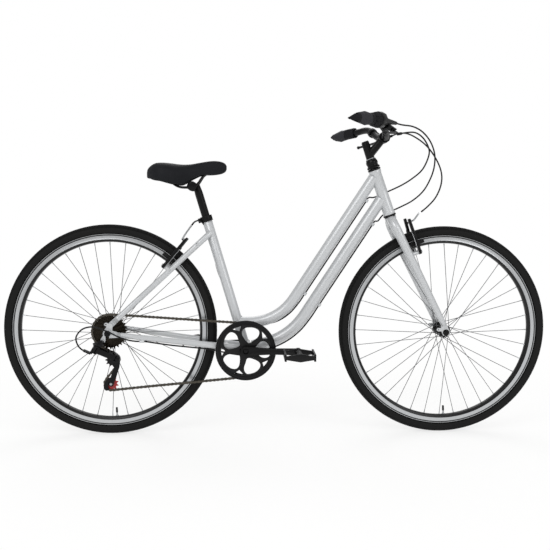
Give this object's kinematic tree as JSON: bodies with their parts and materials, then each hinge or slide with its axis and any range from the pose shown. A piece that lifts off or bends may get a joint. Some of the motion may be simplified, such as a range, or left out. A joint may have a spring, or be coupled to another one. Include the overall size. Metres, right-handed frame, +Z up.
{
  "type": "step through bicycle",
  "caption": "Step-through city bicycle with low sloping frame tubes, spoked wheels, rim brakes, rear derailleur gears, chain guard, upright bar and padded saddle",
  "frame": {"origin": "On the ground, midway along the bicycle's overall box, in the wheels' middle plane.", "axes": "+X points forward, +Y to the rider's left, +Z up. The chain side is at -Y."},
  "size_m": [1.8026, 0.6008, 1.0484],
  "materials": {
    "black_alloy": "anodised black",
    "black_paint": "satin",
    "black_plastic": "matte",
    "bronze_steel": "brushed",
    "chain_steel": "oiled",
    "grip_rubber": "matte",
    "red_plastic": "gloss",
    "rim_alloy": "satin",
    "saddle_cover": "matte",
    "silver_paint": "gloss",
    "steel": "brushed",
    "tyre": "matte"
  },
  "bodies": {
    "frame": {"head_tube": "silver_paint", "seat_tube": "silver_paint", "bottom_bracket_shell": "silver_paint", "upper_tube": "silver_paint", "lower_tube": "silver_paint", "chainstays": "silver_paint", "seatstays": "silver_paint", "seat_collar": "black_alloy", "upper_headset_cup": "black_paint", "lower_headset_cup": "black_paint", "bottom_bracket_cartridge": "black_paint", "rear_axle": "steel", "chain": "chain_steel", "derailleur_knuckle": "black_alloy", "shift_cable": "black_plastic", "rear_brake_cable": "black_plastic", "shift_cable_end": "black_plastic"},
    "steering": {"fork": "silver_paint", "headset_locknut": "black_paint", "stem": "black_alloy", "handlebar": "black_alloy", "right_grip": "grip_rubber", "left_grip": "grip_rubber", "shifter_housing": "black_plastic", "right_brake_lever_bracket": "black_plastic", "left_brake_lever_bracket": "black_plastic", "front_axle": "steel", "front_brake_cable": "black_plastic"},
    "front_wheel": {"front_tyre": "tyre", "front_rim": "rim_alloy", "front_hub_and_spokes": "steel"},
    "rear_wheel": {"rear_tyre": "tyre", "rear_rim": "rim_alloy", "rear_hub_and_spokes": "steel"},
    "freewheel": {"freewheel": "bronze_steel"},
    "crankset": {"bottom_bracket_spindle": "steel", "right_crank_arm": "black_alloy", "left_crank_arm": "black_alloy", "chainring": "steel", "chain_guard": "black_plastic"},
    "right_pedal": {"right_pedal": "black_plastic"},
    "left_pedal": {"left_pedal": "black_plastic"},
    "seat": {"seat_post": "black_alloy", "saddle_clamp": "steel", "saddle_rails": "steel", "saddle_shell": "black_plastic", "saddle_cushion": "saddle_cover"},
    "twist_grip": {"shifter_twist_grip": "grip_rubber"},
    "right_brake_lever": {"right_brake_lever": "black_plastic"},
    "left_brake_lever": {"left_brake_lever": "black_plastic"},
    "front_right_brake_arm": {"front_right_brake_arm": "black_alloy"},
    "front_left_brake_arm": {"front_left_brake_arm": "black_alloy"},
    "rear_right_brake_arm": {"rear_right_brake_arm": "black_alloy"},
    "rear_left_brake_arm": {"rear_left_brake_arm": "black_alloy"},
    "derailleur_outer_link": {"derailleur_outer_link": "black_alloy"},
    "derailleur_inner_link": {"derailleur_inner_link": "black_alloy"},
    "derailleur_lower_knuckle": {"derailleur_lower_knuckle": "black_plastic"},
    "derailleur_cage": {"derailleur_cage": "black_paint"},
    "guide_pulley": {"guide_pulley": "black_plastic"},
    "tension_pulley": {"tension_pulley": "red_plastic"}
  },
  "joints": [
    {"name": "steering", "type": "hinge", "parent": "frame", "child": "steering", "pos_m": [0.36666, 0, 0.73553], "axis": [-0.342, 0, 0.9397], "range_deg": [-60, 60], "deforming": ["shift_cable", "rear_brake_cable"]},
    {"name": "front_wheel_spin", "type": "hinge", "parent": "steering", "child": "front_wheel", "pos_m": [0.55225, 0, 0.349], "axis": [0, 1, 0], "continuous": true},
    {"name": "rear_wheel_spin", "type": "hinge", "parent": "frame", "child": "rear_wheel", "pos_m": [-0.55225, 0, 0.349], "axis": [0, 1, 0], "continuous": true},
    {"name": "crank_spin", "type": "hinge", "parent": "frame", "child": "crankset", "pos_m": [-0.10795, 0, 0.29], "axis": [0, 1, 0], "continuous": true},
    {"name": "freewheel_spin", "type": "hinge", "parent": "frame", "child": "freewheel", "pos_m": [-0.55225, 0, 0.349], "axis": [0, 1, 0], "continuous": true},
    {"name": "right_pedal_spin", "type": "hinge", "parent": "crankset", "child": "right_pedal", "pos_m": [0.06205, -0.131, 0.29], "axis": [0, 1, 0], "continuous": true},
    {"name": "left_pedal_spin", "type": "hinge", "parent": "crankset", "child": "left_pedal", "pos_m": [-0.27795, 0.131, 0.29], "axis": [0, 1, 0], "continuous": true},
    {"name": "seat_post_slide", "type": "slide", "parent": "frame", "child": "seat", "axis": [-0.289, 0, 0.9573], "range_m": [-0.07, 0.05]},
    {"name": "shifter_twist", "type": "hinge", "parent": "steering", "child": "twist_grip", "pos_m": [0.196, -0.29, 1.012], "axis": [0.5944, 0.8014, 0.0668], "range_deg": [0, 110]},
    {"name": "right_brake_lever_pull", "type": "hinge", "parent": "steering", "child": "right_brake_lever", "pos_m": [0.35, -0.112, 0.998], "axis": [0.4892, -0.3752, 0.7873], "range_deg": [0, 20], "stiffness_Nm_per_rad": 0.5, "springref_deg": -20.05},
    {"name": "left_brake_lever_pull", "type": "hinge", "parent": "steering", "child": "left_brake_lever", "pos_m": [0.35, 0.112, 0.998], "axis": [-0.4892, -0.3752, -0.7873], "range_deg": [0, 20], "stiffness_Nm_per_rad": 0.5, "springref_deg": -20.05, "deforming": ["front_brake_cable"]},
    {"name": "front_right_brake_arm_swing", "type": "hinge", "parent": "steering", "child": "front_right_brake_arm", "pos_m": [0.4617, -0.04, 0.615], "axis": [0.9466, 0, 0.3223], "range_deg": [-3, 0]},
    {"name": "front_left_brake_arm_swing", "type": "hinge", "parent": "steering", "child": "front_left_brake_arm", "pos_m": [0.4617, 0.04, 0.615], "axis": [0.9466, 0, 0.3223], "range_deg": [0, 3]},
    {"name": "rear_right_brake_arm_swing", "type": "hinge", "parent": "frame", "child": "rear_right_brake_arm", "pos_m": [-0.3735, -0.04, 0.5658], "axis": [-0.7716, 0, 0.6361], "range_deg": [0, 3]},
    {"name": "rear_left_brake_arm_swing", "type": "hinge", "parent": "frame", "child": "rear_left_brake_arm", "pos_m": [-0.3735, 0.04, 0.5658], "axis": [-0.7716, 0, 0.6361], "range_deg": [-3, 0]},
    {"name": "derailleur_outer_link_swing", "type": "hinge", "parent": "frame", "child": "derailleur_outer_link", "pos_m": [-0.58279, -0.08698, 0.29774], "axis": [0.4961, 0, 0.8682], "range_deg": [-28.8, 0]},
    {"name": "derailleur_inner_link_swing", "type": "hinge", "parent": "frame", "child": "derailleur_inner_link", "pos_m": [-0.58721, -0.07502, 0.30026], "axis": [0.4961, 0, 0.8682], "range_deg": [-28.8, 0]},
    {"name": "derailleur_lower_knuckle_swing", "type": "hinge", "parent": "derailleur_outer_link", "child": "derailleur_lower_knuckle", "pos_m": [-0.53379, -0.06298, 0.26974], "axis": [0.4961, 0, 0.8682], "range_deg": [0, 28.8]},
    {"name": "cage_swing", "type": "hinge", "parent": "derailleur_lower_knuckle", "child": "derailleur_cage", "pos_m": [-0.52625, -0.05, 0.263], "axis": [0, 1, 0], "range_deg": [-5, 20], "stiffness_Nm_per_rad": 2, "deforming": ["chain"]},
    {"name": "guide_pulley_spin", "type": "hinge", "parent": "derailleur_cage", "child": "guide_pulley", "pos_m": [-0.54427, -0.03, 0.25505], "axis": [0, 1, 0], "continuous": true},
    {"name": "tension_pulley_spin", "type": "hinge", "parent": "derailleur_cage", "child": "tension_pulley", "pos_m": [-0.54925, -0.03, 0.17621], "axis": [0, 1, 0], "continuous": true}
  ],
  "couplings": [
    {"joint": "front_right_brake_arm_swing", "follows": "left_brake_lever_pull", "ratio": -0.15},
    {"joint": "front_left_brake_arm_swing", "follows": "left_brake_lever_pull", "ratio": 0.15},
    {"joint": "rear_right_brake_arm_swing", "follows": "right_brake_lever_pull", "ratio": 0.15},
    {"joint": "rear_left_brake_arm_swing", "follows": "right_brake_lever_pull", "ratio": -0.15},
    {"joint": "freewheel_spin", "follows": "crank_spin", "ratio": 1.5714},
    {"joint": "guide_pulley_spin", "follows": "crank_spin", "ratio": -4},
    {"joint": "tension_pulley_spin", "follows": "crank_spin", "ratio": 4},
    {"joint": "derailleur_outer_link_swing", "follows": "shifter_twist", "ratio": -0.26091},
    {"joint": "derailleur_inner_link_swing", "follows": "shifter_twist", "ratio": -0.26091},
    {"joint": "derailleur_lower_knuckle_swing", "follows": "shifter_twist", "ratio": 0.26091}
  ]
}
